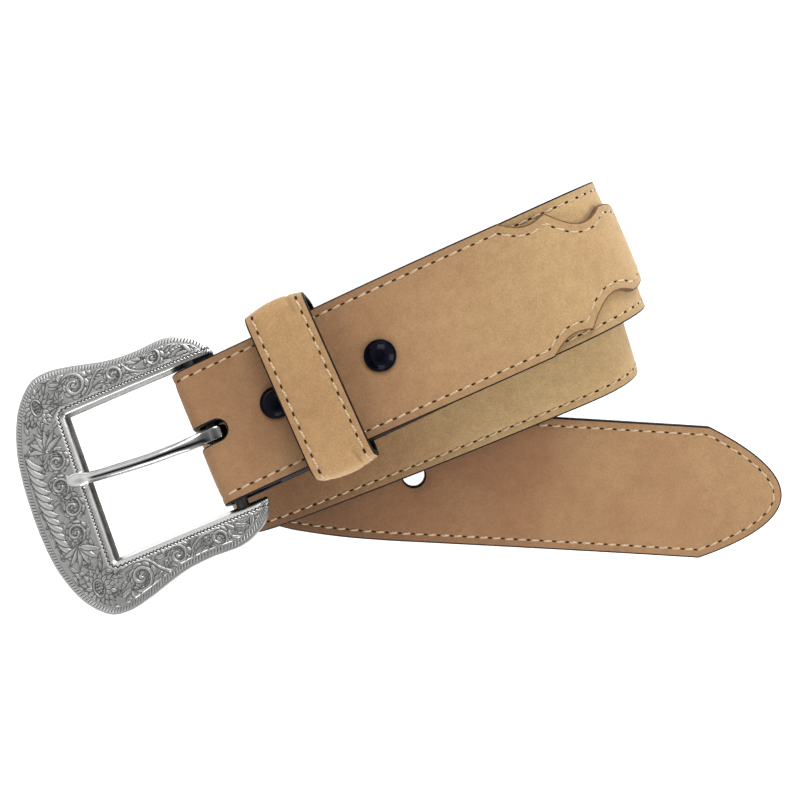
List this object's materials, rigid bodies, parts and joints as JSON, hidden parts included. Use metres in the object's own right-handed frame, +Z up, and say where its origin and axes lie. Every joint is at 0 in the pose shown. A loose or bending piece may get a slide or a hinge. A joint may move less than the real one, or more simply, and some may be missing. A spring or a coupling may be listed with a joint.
{
  "type": "western belt",
  "caption": "Tan nubuck western belt lying in a loose coil, with an engraved antique-silver buckle, a dark prong, a stitched keeper and black snaps.",
  "frame": {"origin": "on the floor, in the middle of the flat stretch of strap that the coil lies on", "axes": "+X along the top of the coil away from the buckle, +Y towards the side away from the strap's tip, +Z up"},
  "size_m": [0.1896, 0.1274, 0.0773],
  "materials": {
    "strap_leather": "tan nubuck with black painted edges",
    "billet_leather": "tan nubuck, stitched, with black painted edges",
    "keeper_leather": "lighter tan nubuck, stitched, with black painted edges",
    "buckle_metal": "cast, engraved, antique silver plating",
    "prong_metal": "polished dark nickel",
    "snap_enamel": "glossy black enamel"
  },
  "bodies": {
    "belt": {"strap": "strap_leather", "billet": "billet_leather", "keeper": "keeper_leather", "snap_1": "snap_enamel", "snap_2": "snap_enamel"},
    "buckle": {"buckle_frame": "buckle_metal"},
    "prong": {"prong": "prong_metal"}
  },
  "joints": [
    {"name": "frame_pivot", "type": "hinge", "parent": "belt", "child": "buckle", "pos_m": [-0.04274, 0.00579, 0.06194], "axis": [0.0438, 0.9719, -0.2315], "range_deg": [-40, 20]},
    {"name": "prong_pivot", "type": "hinge", "parent": "buckle", "child": "prong", "pos_m": [-0.04274, 0.00579, 0.06194], "axis": [0.0438, 0.9719, -0.2315], "range_deg": [0, 60]}
  ]
}
